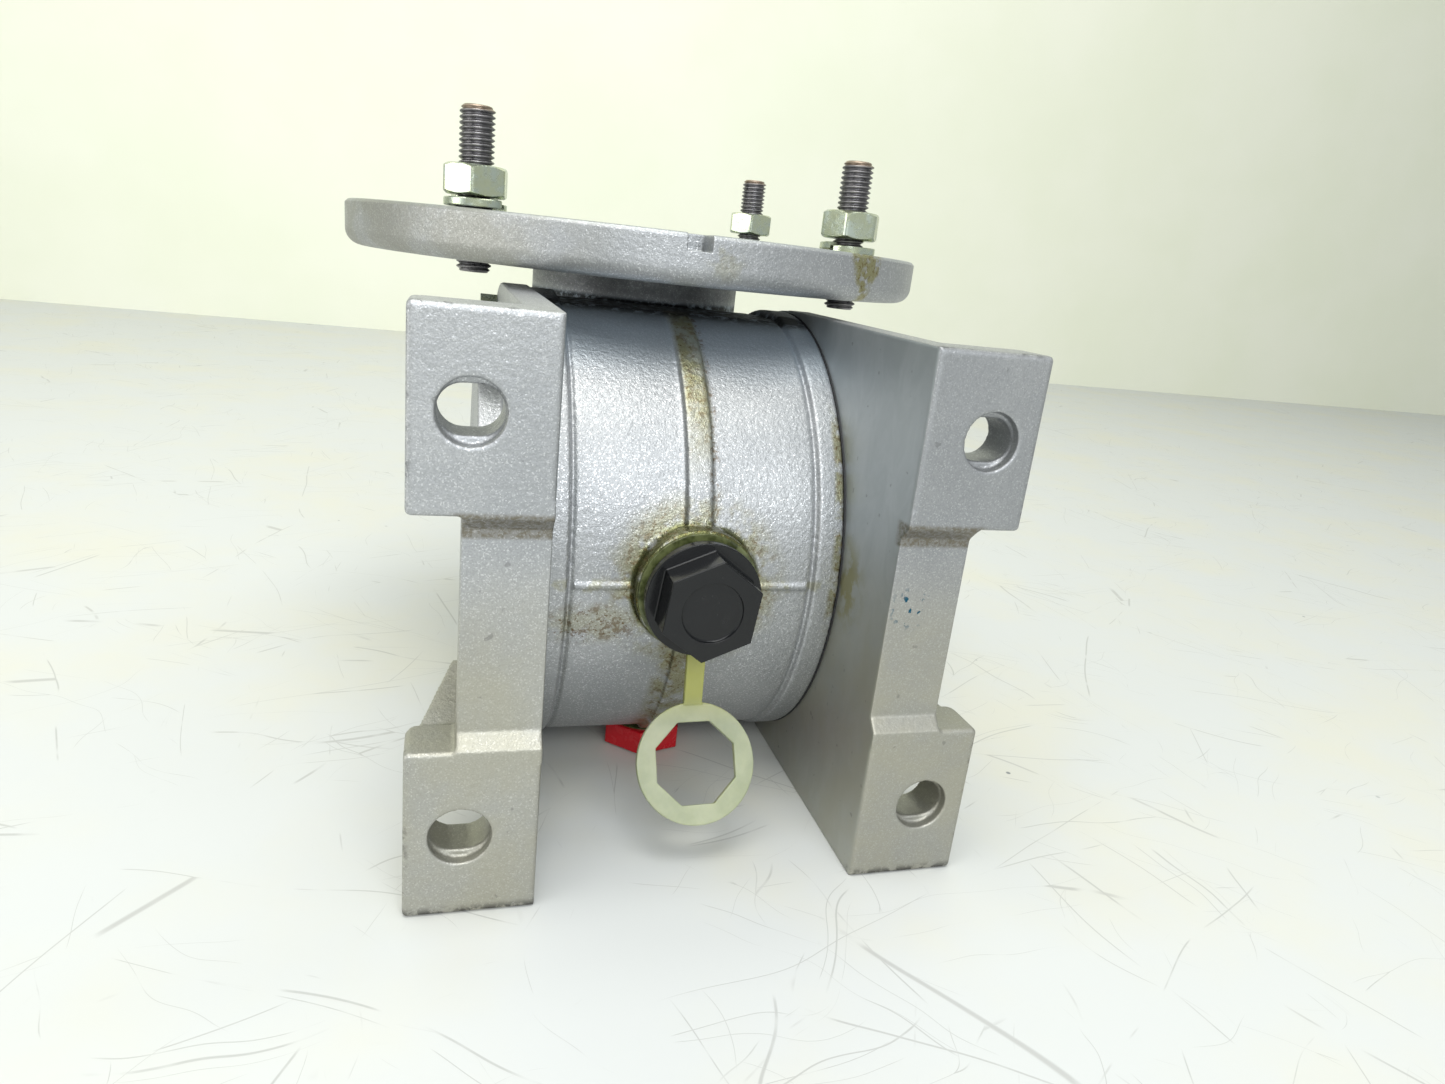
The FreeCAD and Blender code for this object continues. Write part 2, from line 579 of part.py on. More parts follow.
def circlip(start, radius):
    """An internal circlip with its gap."""
    end = "%s + circlip_thickness" % start
    before, after = start + " - overshoot", end + " + overshoot"
    ring = cut(cylinder("z", start, end, "%s + circlip_bite" % radius, WORM_AXIS),
               cylinder("z", before, after, "%s - circlip_inset" % radius, WORM_AXIS))
    opening = box(("-circlip_gap / 2", "circlip_gap / 2"),
                  ("centre_distance", "centre_distance + %s + circlip_bite + overshoot" % radius),
                  (before, after))
    return cut(ring, opening)


def small_turned_parts():
    right_seal = seal("x", "hub_boss_outer - seal_width", "output_radius", "out_seal_radius")
    node(right_seal, "right_output_seal")
    node(mirrored(right_seal), "left_output_seal")
    node(seal("z", "neck_top - seal_width", "input_radius", "top_bearing_radius", WORM_AXIS), "input_seal")
    node(circlip("top_start + top_width", "top_bearing_radius"), "top_circlip")
    node(circlip("low_start - circlip_thickness", "low_bearing_radius"), "low_circlip")
    cap_bottom = "tube_bottom + cap_inset"
    cap = cut(cylinder("z", cap_bottom, cap_bottom + " + cap_height", "low_bearing_radius", WORM_AXIS),
              cylinder("z", cap_bottom + " + cap_wall", cap_bottom + " + cap_height + overshoot",
                       "low_bearing_radius - cap_wall", WORM_AXIS))
    node(cap, "worm_end_cap")


# ---------------------------------------------------------------- input flange and its fasteners
# the four nuts are run on loosely, each to its own height and turn; each washer's slit points its own way
NUT_LIFTS = (5.8, 3.7, 3.7, 4.5)
NUT_TURNS = (15.7, 40, 22.3, 0)
SLIT_TURNS = (40, 115, -120, 124)


def spring_washer(centre, turn):
    """A relaxed split washer that lies tilted on the flange round its stud."""
    radius, bore, thick = value("spring_washer_radius"), "washer_bore", "spring_washer"
    before, after = "-overshoot", thick + " + overshoot"
    slit = box(("-washer_slit_half", "washer_slit_half"), ("0", "spring_washer_radius + overshoot"),
               (before, after))
    ring = cut(cylinder("z", "0", thick, "spring_washer_radius"), cylinder("z", before, after, bore), slit)
    tilt = value("washer_tilt")
    ring.Placement = FreeCAD.Placement(Vector(), Rotation(turn, 0, tilt))
    bind(ring, "Placement.Base.x", centre[0])
    bind(ring, "Placement.Base.y", centre[1])
    bind(ring, "Placement.Base.z", "flange_top + %g" % (radius * math.sin(math.radians(tilt))))
    return ring


def nut(bottom, centre, spin):
    """A hexagon nut with both ends chamfered."""
    top = bottom + " + nut_height"
    crown = doc.addObject("Part::Cone", "NutCrown")
    foot = doc.addObject("Part::Cone", "NutFoot")
    for cone, low, high in ((crown, "nut_cone_wide", "nut_cone_narrow"),
                            (foot, "nut_cone_narrow", "nut_cone_wide")):
        bind(cone, "Radius1", low)
        bind(cone, "Radius2", high)
        bind(cone, "Height", "nut_height")
        place(cone, "z", bottom, centre)
    blank = common(hexagon("z", bottom, top, "nut_flats", centre, spin), crown)
    bore = cylinder("z", bottom + " - overshoot", top + " + overshoot", "stud_radius", centre)
    return cut(common(blank, foot), bore)


def input_flange():
    """Motor flange with a register recess, four tapped stud holes and a drain notch at the front."""
    disc = cylinder("z", "flange_bottom", "flange_top", "flange_radius", WORM_AXIS)
    doc.recompute()
    radius = value("flange_radius")
    bottom = edges_at(disc.Shape, "z", value("flange_bottom"), radius)
    softened = dressed("Part::Fillet", disc, bottom, value("flange_round"))
    doc.recompute()
    top = edges_at(softened.Shape, "z", value("flange_top"), radius)
    blank = dressed("Part::Chamfer", softened, top, value("flange_chamfer"))
    over = "flange_top + overshoot"
    register = cylinder("z", "flange_top - register_depth", over, "register_radius", WORM_AXIS)
    bore = cylinder("z", "flange_bottom - overshoot", over, "flange_bore", WORM_AXIS)
    front = "centre_distance - flange_radius"
    notch = group(box(("-notch_half", "notch_half"), (front + " - overshoot", front + " + notch_length"),
                      ("flange_top - notch_depth", over)))
    twist = Rotation(Vector(0, 0, 1), value("flange_twist"))
    notch.Placement = FreeCAD.Placement(Vector(), twist, Vector(0, value("centre_distance"), 0))
    holes = [cylinder("z", "flange_bottom - overshoot", over, "stud_radius", centre) for centre in STUDS]
    for centre in SCREWS:
        holes.append(cylinder("z", "flange_bottom - overshoot", "flange_top", "screw_clearance", centre))
        holes.append(cylinder("z", "screw_seat", "flange_top", "screw_seat_radius", centre))
    node(cut(blank, register, bore, notch, *holes), "input_flange")

    before, after = "neck_top - overshoot", "flange_bottom + overshoot"
    gasket = cut(cylinder("z", "neck_top", "flange_bottom", "neck_radius", WORM_AXIS),
                 cylinder("z", before, after, "top_bearing_radius", WORM_AXIS),
                 *[cylinder("z", before, after, "screw_radius", centre) for centre in SCREWS])
    node(gasket, "flange_gasket")

    screws = []
    for centre in SCREWS:
        head = cylinder("z", "screw_seat", "screw_seat + screw_head", "screw_head_radius", centre)
        shank = cylinder("z", "screw_seat - screw_length", "screw_seat", "screw_radius", centre)
        socket = hexagon("z", "screw_seat + screw_head - screw_socket", "screw_seat + screw_head + overshoot",
                         "screw_socket_flats", centre)
        screws.append(cut(fuse(head, shank), socket))
    node(group(*screws), "flange_screws")

    studs, washers, nuts = [], [], []
    for number, centre in enumerate(STUDS):
        rod = cylinder("z", "stud_bottom", "stud_top", "stud_radius", centre)
        doc.recompute()
        ends = edges_at(rod.Shape, "z", value("stud_bottom")) + edges_at(rod.Shape, "z", value("stud_top"))
        studs.append(dressed("Part::Chamfer", rod, ends, value("stud_chamfer")))
        washers.append(spring_washer(centre, SLIT_TURNS[number]))
        nuts.append(nut("flange_top + %g" % NUT_LIFTS[number], centre, NUT_TURNS[number]))
    node(group(*studs), "flange_studs")
    node(group(*washers), "spring_washers")
    node(group(*nuts), "stud_nuts")


# ---------------------------------------------------------------- plugs and keeper
def plugs():
    """Fill plug with washer and keeper strap on the drum's front, drain plug below."""
    keeper_back = "-boss_face - plug_washer"
    keeper_front = keeper_back + " - keeper_thickness"
    washer = cut(cylinder("y", keeper_back, "-boss_face", "plug_washer_radius"),
                 cylinder("y", keeper_back + " - overshoot", "overshoot - boss_face", "plug_thread"))
    node(washer, "fill_plug_washer")

    eye = cylinder("y", keeper_front, keeper_back, "keeper_eye")
    strap = box(("-strap_half", "strap_half"), (keeper_front, keeper_back), ("strap_bottom", "-plug_thread"))
    tilt = value("keeper_tilt")
    ring = cylinder("y", "0", "keeper_thickness", "keeper_ring")
    opening = prism(8, "y", "-overshoot", "keeper_thickness + overshoot", "keeper_hole_flats", spin=180 / 8)
    hoop = cut(ring, opening)
    hoop.Placement = FreeCAD.Placement(Vector(), Rotation(Vector(1, 0, 0), -tilt))
    bind(hoop, "Placement.Base.y", keeper_front + " - (keeper_ring - keeper_overlap) * sin(%g deg)" % tilt)
    bind(hoop, "Placement.Base.z", "strap_bottom - (keeper_ring - keeper_overlap) * cos(%g deg)" % tilt)
    limb = fuse(strap, hoop)
    limb.Placement = FreeCAD.Placement(Vector(), Rotation(Vector(0, 1, 0), value("keeper_swing")))
    keeper = cut(fuse(eye, limb),
                 cylinder("y", keeper_front + " - overshoot", keeper_back + " + overshoot", "plug_thread"))
    node(keeper, "plug_keeper")

    collar_front = keeper_front + " - plug_collar"
    head_front = collar_front + " - plug_head"
    plug = cut(fuse(cylinder("y", collar_front, keeper_front, "plug_collar_radius"),
                    hexagon("y", head_front, collar_front, "plug_flats", spin=value("plug_turn")),
                    cylinder("y", keeper_front, keeper_front + " + plug_thread_length", "plug_thread")),
               cylinder("y", head_front + " - overshoot", head_front + " + plug_dimple",
                        "plug_dimple_radius"))
    node(plug, "fill_plug")

    centre = ("0", "drain_centre", "0")
    head_top = "drain_seat - drain_washer"
    drain_washer = cut(cylinder("z", head_top, "drain_seat", "drain_washer_radius", centre),
                       cylinder("z", head_top + " - overshoot", "drain_seat + overshoot", "drain_thread",
                                centre))
    node(drain_washer, "drain_plug_washer")
    drain = fuse(hexagon("z", head_top + " - drain_head", head_top, "drain_flats", centre,
                         value("drain_turn")),
                 cylinder("z", head_top, head_top + " + drain_thread_length", "drain_thread", centre))
    node(drain, "drain_plug")


# ---------------------------------------------------------------- build, check and export
gear_case()
foot_covers()
output_group()
rim_blank, first_gap, rim_teeth = wheel_rim()
worm_shaft()
bearings()
small_turned_parts()
input_flange()
plugs()
doc.recompute()

for item in doc.Objects:
    failed = "Invalid" in item.State or "Error" in item.State
    if failed or (hasattr(item, "Shape") and item.isDerivedFrom("Part::FilletBase") and item.Shape.isNull()):
        raise RuntimeError("%s (%s) failed to recompute" % (item.Name, item.Label))
if not rim_blank.Shape.Volume > first_gap.Shape.Volume > rim_teeth.Shape.Volume:
    raise RuntimeError("the tooth gaps cut nothing")

os.makedirs("parts", exist_ok=True)
for item in NODES:
    if item.Shape.isNull() or not item.Shape.isValid() or item.Shape.Volume <= 0:
        raise RuntimeError("%s has no valid shape" % item.Label)
    item.Shape.exportStep(os.path.join("parts", item.Label + ".step"))
    print("%-24s %3d solids %12.1f mm3" % (item.Label, len(item.Shape.Solids), item.Shape.Volume))
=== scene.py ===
import json
import math

import bmesh
import bpy
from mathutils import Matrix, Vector


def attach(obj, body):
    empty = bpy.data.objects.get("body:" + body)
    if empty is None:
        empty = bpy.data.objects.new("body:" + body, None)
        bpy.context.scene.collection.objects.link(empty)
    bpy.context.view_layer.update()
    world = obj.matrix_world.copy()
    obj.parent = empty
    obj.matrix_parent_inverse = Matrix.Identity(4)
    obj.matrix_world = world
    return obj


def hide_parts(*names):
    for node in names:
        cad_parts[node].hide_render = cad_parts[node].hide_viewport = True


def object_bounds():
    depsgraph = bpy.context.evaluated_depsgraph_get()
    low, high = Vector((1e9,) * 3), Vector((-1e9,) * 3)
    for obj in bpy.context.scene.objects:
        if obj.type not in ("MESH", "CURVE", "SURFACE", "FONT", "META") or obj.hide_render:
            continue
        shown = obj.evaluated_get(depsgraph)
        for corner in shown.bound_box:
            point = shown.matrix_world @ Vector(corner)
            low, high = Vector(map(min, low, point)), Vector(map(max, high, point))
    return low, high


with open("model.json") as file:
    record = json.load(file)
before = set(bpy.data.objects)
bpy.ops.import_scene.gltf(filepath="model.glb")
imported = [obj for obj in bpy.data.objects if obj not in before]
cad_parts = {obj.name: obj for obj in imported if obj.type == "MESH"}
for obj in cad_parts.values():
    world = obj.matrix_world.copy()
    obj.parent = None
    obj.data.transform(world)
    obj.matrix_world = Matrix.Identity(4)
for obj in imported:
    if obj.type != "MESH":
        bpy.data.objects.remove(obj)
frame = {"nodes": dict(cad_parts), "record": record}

# A foot-mounted worm gear reducer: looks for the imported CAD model. Lengths are in metres, and the
# materials work in millimetres of the object's own frame.

MM = 0.001
cad_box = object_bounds()
TABLE_Z = cad_box[0].z
WORM_Y = 50.0 * MM          # the worm's vertical axis, behind the output axis
FLANGE_TOP = 92.5 * MM      # where the studs' washers rest
INNER_FACE_X = 43.0         # the covers' flat inner faces, in millimetres from the middle

STUD_RADIUS = 5.0 * MM
STUD_PITCH = 1.5 * MM
STUD_CHAMFER = 1.1 * MM

MOST_TRIANGLES = 190000     # of one softened piece


# ---------------------------------------------------------------- building meshes
def add_object(name, mesh):
    piece = bpy.data.objects.new(name, mesh)
    bpy.context.scene.collection.objects.link(piece)
    return piece


def mesh_piece(name, points, faces):
    """A new object from points in metres and faces, with outward normals."""
    mesh = bpy.data.meshes.new(name)
    mesh.from_pydata(points, [], faces)
    work = bmesh.new()
    work.from_mesh(mesh)
    bmesh.ops.recalc_face_normals(work, faces=work.faces)
    work.to_mesh(mesh)
    work.free()
    return add_object(name, mesh)


def apply_modifiers(piece):
    """Bake a piece's modifiers into its mesh."""
    graph = bpy.context.evaluated_depsgraph_get()
    mesh = bpy.data.meshes.new_from_object(piece.evaluated_get(graph))
    piece.modifiers.clear()
    old = piece.data
    piece.data = mesh
    bpy.data.meshes.remove(old)


def shade_smooth(piece, sharp_degrees=None):
    """Smooth shading, with edges that turn by more than sharp_degrees kept sharp."""
    piece.data.polygons.foreach_set("use_smooth", [True] * len(piece.data.polygons))
    if sharp_degrees:
        piece.data.set_sharp_from_angle(angle=math.radians(sharp_degrees))


def soften(piece, voxel, steps):
    """Turn a solid into a fine even mesh with small round edges, then thin it where it is flat."""
    remesh = piece.modifiers.new("Remesh", "REMESH")
    remesh.mode = "VOXEL"
    remesh.voxel_size = voxel
    relax = piece.modifiers.new("Relax", "SMOOTH")
    relax.factor = 0.5
    relax.iterations = steps
    apply_modifiers(piece)
    triangles = sum(len(face.vertices) - 2 for face in piece.data.polygons)
    if triangles > MOST_TRIANGLES:
        thin = piece.modifiers.new("Thin", "DECIMATE")
        thin.ratio = MOST_TRIANGLES / triangles
        apply_modifiers(piece)
    shade_smooth(piece)


def islands(node):
    """The separate solids of a CAD node, each as a list of points."""
    work = bmesh.new()
    work.from_mesh(frame["nodes"][node].data)
    bmesh.ops.remove_doubles(work, verts=work.verts, dist=0.001 * MM)
    left = dict.fromkeys(work.verts)
    found = []
    while left:
        seed = next(iter(left))
        del left[seed]
        group, front = [seed], [seed]
        while front:
            corner = front.pop()
            for edge in corner.link_edges:
                other = edge.other_vert(corner)
                if other in left:
                    del left[other]
                    group.append(other)
                    front.append(other)
        found.append([corner.co.copy() for corner in group])
    work.free()
    return found


def middle_of(points):
    """Centre in plan, and the lowest and highest Z, of a list of points."""
    xs, ys, zs = zip(*points)
    return (min(xs) + max(xs)) / 2, (min(ys) + max(ys)) / 2, min(zs), max(zs)


def copy_of(node, name):
    """A new piece with the same shape as a CAD node."""
    mesh = frame["nodes"][node].data.copy()
    mesh.materials.clear()
    return add_object(name, mesh)


def stand_in(piece, node):
    """The piece stands for a CAD node: it rides on the node's body and hides it."""
    body = next(name for name, members in frame["record"]["behaviour"]["bodies"].items() if node in members)
    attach(piece, body)
    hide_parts(node)


def paint(piece, material):
    piece.data.materials.clear()
    piece.data.materials.append(material)


# ---------------------------------------------------------------- building materials
class Shader:
    """Short names for the nodes of one material. Its coordinates are millimetres in the object's frame."""

    def __init__(self, name):
        self.material = bpy.data.materials.new(name)
        self.material.use_nodes = True
        self.tree = self.material.node_tree
        self.tree.nodes.clear()
        output = self.tree.nodes.new("ShaderNodeOutputMaterial")
        self.bsdf = self.tree.nodes.new("ShaderNodeBsdfPrincipled")
        self.tree.links.new(self.bsdf.outputs[0], output.inputs["Surface"])
        coordinates = self.tree.nodes.new("ShaderNodeTexCoord")
        scaled = self.add("ShaderNodeVectorMath", operation="SCALE")
        self.tree.links.new(coordinates.outputs["Object"], scaled.inputs[0])
        scaled.inputs["Scale"].default_value = 1 / MM
        self.place = scaled.outputs[0]
        self.x, self.y, self.z = self.parts(self.place)
        self.facing = self.parts(coordinates.outputs["Normal"])

    def add(self, kind, **settings):
        made = self.tree.nodes.new(kind)
        for name, value in settings.items():
            setattr(made, name, value)
        return made

    def put(self, socket, value):
        if isinstance(value, bpy.types.NodeSocket):
            self.tree.links.new(value, socket)
        elif isinstance(value, tuple) and len(value) == 3 and socket.type == "RGBA":
            socket.default_value = (*value, 1)
        else:
            socket.default_value = value

    def set(self, **values):
        """Set Principled sockets; underscores in the names stand for spaces."""
        for name, value in values.items():
            self.put(self.bsdf.inputs[name.replace("_", " ")], value)

    def parts(self, vector):
        split = self.add("ShaderNodeSeparateXYZ")
        self.tree.links.new(vector, split.inputs[0])
        return split.outputs[:]

    def vector(self, x, y, z):
        join = self.add("ShaderNodeCombineXYZ")
        for socket, value in zip(join.inputs, (x, y, z)):
            self.put(socket, value)
        return join.outputs[0]

    def math(self, operation, first, second=0.0):
        made = self.add("ShaderNodeMath", operation=operation)
        for socket, value in zip(made.inputs, (first, second)):
            self.put(socket, value)
        return made.outputs[0]

    def plus(self, first, second):
        return self.math("ADD", first, second)

    def times(self, first, *others):
        for other in others:
            first = self.math("MULTIPLY", first, other)
        return first

    def most(self, *values):
        first = values[0]
        for value in values[1:]:
            first = self.math("MAXIMUM", first, value)
        return first

    def distance(self, *offsets):
        """Length of a vector given by (coordinate, centre) pairs."""
        total = None
        for coordinate, centre in offsets:
            square = self.math("POWER", self.math("ABSOLUTE", self.math("SUBTRACT", coordinate, centre)), 2.0)
            total = square if total is None else self.plus(total, square)
        return self.math("SQRT", total)

    def step(self, value, low, high):
        """0 below low, 1 above high, smooth between; low may be the larger."""
        made = self.add("ShaderNodeMapRange", interpolation_type="SMOOTHSTEP")
        turned = low > high
        self.put(made.inputs["Value"], value)
        made.inputs["From Min"].default_value = min(low, high)
        made.inputs["From Max"].default_value = max(low, high)
        made.inputs["To Min"].default_value = 1.0 if turned else 0.0
        made.inputs["To Max"].default_value = 0.0 if turned else 1.0
        return made.outputs["Result"]

    def noise(self, scale, detail=2.0, roughness=0.5, vector=None, distortion=0.0):
        made = self.add("ShaderNodeTexNoise")
        self.put(made.inputs["Vector"], vector or self.place)
        for name, value in (("Scale", scale), ("Detail", detail), ("Roughness", roughness),
                            ("Distortion", distortion)):
            made.inputs[name].default_value = value
        return made.outputs[0]

    def cells(self, scale, output="Distance", vector=None, feature="F1"):
        made = self.add("ShaderNodeTexVoronoi", feature=feature)
        self.put(made.inputs["Vector"], vector or self.place)
        made.inputs["Scale"].default_value = scale
        return made.outputs[output]

    def mix(self, amount, first, second):
        made = self.add("ShaderNodeMix", data_type="RGBA")
        self.put(made.inputs["Factor"], amount)
        self.put(made.inputs[6], first)
        self.put(made.inputs[7], second)
        return made.outputs[2]

    def blend(self, amount, first, second):
        """A number between two numbers."""
        made = self.add("ShaderNodeMix", data_type="FLOAT")
        self.put(made.inputs["Factor"], amount)
        self.put(made.inputs[2], first)
        self.put(made.inputs[3], second)
        return made.outputs[0]

    def bump(self, height, distance_mm, strength):
        made = self.add("ShaderNodeBump")
        made.inputs["Strength"].default_value = strength
        made.inputs["Distance"].default_value = distance_mm * MM
        self.put(made.inputs["Height"], height)
        self.tree.links.new(made.outputs[0], self.bsdf.inputs["Normal"])


OIL = (0.24, 0.22, 0.05)
WET_OIL = (0.10, 0.105, 0.03)
OLD_OIL = (0.115, 0.060, 0.012)
# Painted shade, with some grime, round the neck's foot and in a lump beside it.
SHADE_AND_GRIME = (0.022, 0.017, 0.012)
BLUE_PAINT = (0.012, 0.09, 0.15)


def near(s, coordinate, centre, half, soft):
    """1 within a half width of a centre along one coordinate, falling to 0 over a soft edge."""
    return s.step(s.math("ABSOLUTE", s.math("SUBTRACT", coordinate, centre)), half + soft, half)


def cast_aluminium(name, stains_and_shade, smooth_area=None, *, grit, light):
    """Cast aluminium: grey orange-peel skin with fine glints, optional smoother areas, and stains and painted
    shade.
    """
    s = Shader(name)
    peel = s.noise(0.75, 2.0, 0.55)
    fine = s.noise(2.4, 2.0, 0.5)
    glint = s.parts(s.cells(3.4, "Color"))[0]
    tone = s.step(s.noise(0.030, 3.0, 0.6), 0.3, 0.7)
    bright = (light, light * 1.02, light * 1.045)
    dull = (light * 0.86, light * 0.885, light * 0.92)
    colour = s.mix(tone, dull, bright)
    shade = (light * 0.62, light * 0.64, light * 0.67)
    colour = s.mix(s.times(s.step(fine, 0.56, 0.40), 0.35), colour, shade)
    colour = s.mix(s.times(s.step(glint, 0.80, 1.0), 0.42 * grit), colour, (0.86, 0.87, 0.89))
    rough = s.blend(s.step(glint, 0.8, 0.95), 0.50, 0.34)
    height = s.plus(peel, s.times(fine, 0.45))
    if smooth_area:
        amount = smooth_area(s)
        streak = s.noise(0.10, 4.0, 0.65, s.vector(s.times(s.x, 0.3), s.y, s.times(s.z, 0.55)), 0.8)
        worn = s.mix(s.step(streak, 0.30, 0.75), (0.39, 0.42, 0.43), (0.45, 0.48, 0.49))
        colour = s.mix(amount, colour, worn)
        rough = s.blend(amount, rough, 0.46)
        height = s.blend(amount, height, s.times(s.noise(0.9, 4.0, 0.6), 0.25))
    for amount, tint, gloss in stains_and_shade(s):
        colour = s.mix(amount, colour, tint)
        rough = s.blend(amount, rough, gloss)
    s.set(Base_Color=colour, Metallic=0.82, Roughness=rough)
    s.bump(height, 0.20 * grit, 0.8)
    return s.material


def case_stains_and_shade(s):
    """Painted shade and bluish reflection under the flange on the drum's top and the neck, painted shade with
    some grime round the neck's foot, oil on the rib and the plug, specks along the right band.
    """
    front = s.step(s.y, -5.0, -20.0)
    patchy = s.step(s.noise(0.16, 3.0, 0.6), 0.36, 0.60)
    specks = s.step(s.noise(0.85, 4.0, 0.75), 0.56, 0.62)
    blots = s.step(s.noise(0.42, 4.0, 0.7), 0.54, 0.60)
    from_plug = s.distance((s.x, 0.0), (s.z, 0.0))

    # Painted shade on the drum's flat top, under the flange.
    top = s.step(s.z, 66.8, 69.6)
    # Painted shade in the corner round the neck's foot, ragged by noise.
    neck_foot_shade = s.times(s.step(s.z, 67.5, 69.4), s.step(s.z, 71.6, 69.8))
    neck_foot_shade = s.times(neck_foot_shade, s.step(s.noise(0.35, 4.0, 0.7), 0.36, 0.52))
    lump = s.step(s.distance((s.x, 37.0), (s.y, -16.0), (s.z, 70.0)), 6.0, 3.5)
    # Painted shadow of the flange on the neck, patchy by noise.
    neck_shade = s.times(s.step(s.z, 71.0, 73.5), s.blend(s.step(s.noise(0.3, 4.0, 0.7), 0.40, 0.60), 0.35, 0.7))

    rib = s.times(near(s, s.x, 0.5, 2.8, 2.0), front)
    rib_film = s.times(rib, s.step(s.z, 22.0, 55.0), s.blend(patchy, 0.55, 0.95))
    rib_below = s.times(near(s, s.x, -1.5, 4.0, 4.0), front, s.step(s.z, -14.0, -22.0), patchy)
    rib_edge = s.times(near(s, s.x, 4.2, 0.9, 1.2), front, s.step(s.z, -62.0, -20.0))
    rib_edge = s.times(rib_edge, s.step(s.noise(0.30, 3.0, 0.6), 0.34, 0.52))

    ring = s.times(s.step(from_plug, 19.6, 17.6), front)
    ring = s.times(ring, s.step(s.noise(0.22, 3.0, 0.6), 0.30, 0.50))
    halo = s.times(s.step(from_plug, 29.0, 18.0), front, s.step(s.noise(0.15, 3.0, 0.6), 0.36, 0.56))
    low_left = s.times(s.step(s.distance((s.x, -27.0), (s.times(s.z, 2.4), -27.0)), 19.0, 8.0), front)
    band = s.times(near(s, s.x, 41.6, 0.9, 1.6), front, s.step(s.z, -20.0, 0.0), s.step(s.z, 52.0, 40.0))
    band = s.times(band, s.step(s.noise(0.18, 3.0, 0.6), 0.42, 0.56))
    seam = s.times(near(s, s.z, 0.0, 1.2, 1.5), front, s.step(s.noise(0.2, 3.0, 0.6), 0.50, 0.62))

    film = s.most(s.times(rib_film, 0.75), s.times(rib_below, 0.6), s.times(halo, 0.55),
                  s.times(low_left, patchy, 0.35), s.times(band, 0.6), s.times(seam, 0.35))
    dots = s.times(s.most(s.times(rib_film, 0.95), rib_edge, rib_below, s.times(halo, 0.9), low_left, band),
                   s.most(specks, s.times(blots, 0.7)))
    # Painted bluish shade and sky reflection on the drum's upper part, under the flange.
    blue_shade_reflection = s.times(s.step(s.z, 50.0, 66.0), s.step(s.z, 71.5, 70.0))
    # The bluish tint, the darkened top and the neck's darkening are painted shade under the flange; the last
    # entry is painted shade with some grime round the neck's foot.
    return [(s.times(blue_shade_reflection, 0.65), (0.40, 0.49, 0.58), 0.5),
            (s.times(top, 0.12), (0.10, 0.12, 0.14), 0.5), (s.times(neck_shade, 0.6), (0.07, 0.07, 0.065), 0.5),
            (film, OIL, 0.30), (s.times(ring, 0.9), WET_OIL, 0.16), (s.times(dots, 0.85), OLD_OIL, 0.45),
            (s.times(s.most(neck_foot_shade, lump), 0.88), SHADE_AND_GRIME, 0.55)]


def flange_stains(s):
    """A duller left side, an oil run under the front right stud and a faint smear beside the notch."""
    width = s.blend(s.step(s.z, 80.0, 92.0), 1.5, 6.5)
    offset = s.math("ABSOLUTE", s.math("SUBTRACT", s.x, s.plus(51.5, s.times(s.noise(0.2), 5.0))))
    run = s.times(s.step(s.math("SUBTRACT", offset, width), 1.5, -1.0), s.step(s.y, 10.0, -10.0))
    run = s.times(run, s.step(s.noise(0.35, 3.0, 0.65), 0.34, 0.52))
    smear = s.times(s.step(s.distance((s.x, 6.0), (s.z, 86.0)), 8.0, 2.0), s.step(s.y, -30.0, -45.0))
    dots = s.step(s.noise(0.8, 3.0, 0.7), 0.55, 0.62)
    patchy = s.step(s.noise(0.25, 3.0, 0.6), 0.45, 0.62)
    dull = s.times(s.step(s.x, -10.0, -60.0), s.step(s.noise(0.05, 3.0, 0.6), 0.30, 0.60))
    return [(s.times(dull, 0.5), (0.27, 0.26, 0.20), 0.5), (s.times(run, 0.75), OIL, 0.32),
            (s.times(smear, patchy, 0.25), OIL, 0.4),
            (s.times(s.most(run, s.times(smear, 0.25)), dots, 0.6), OLD_OIL, 0.4)]


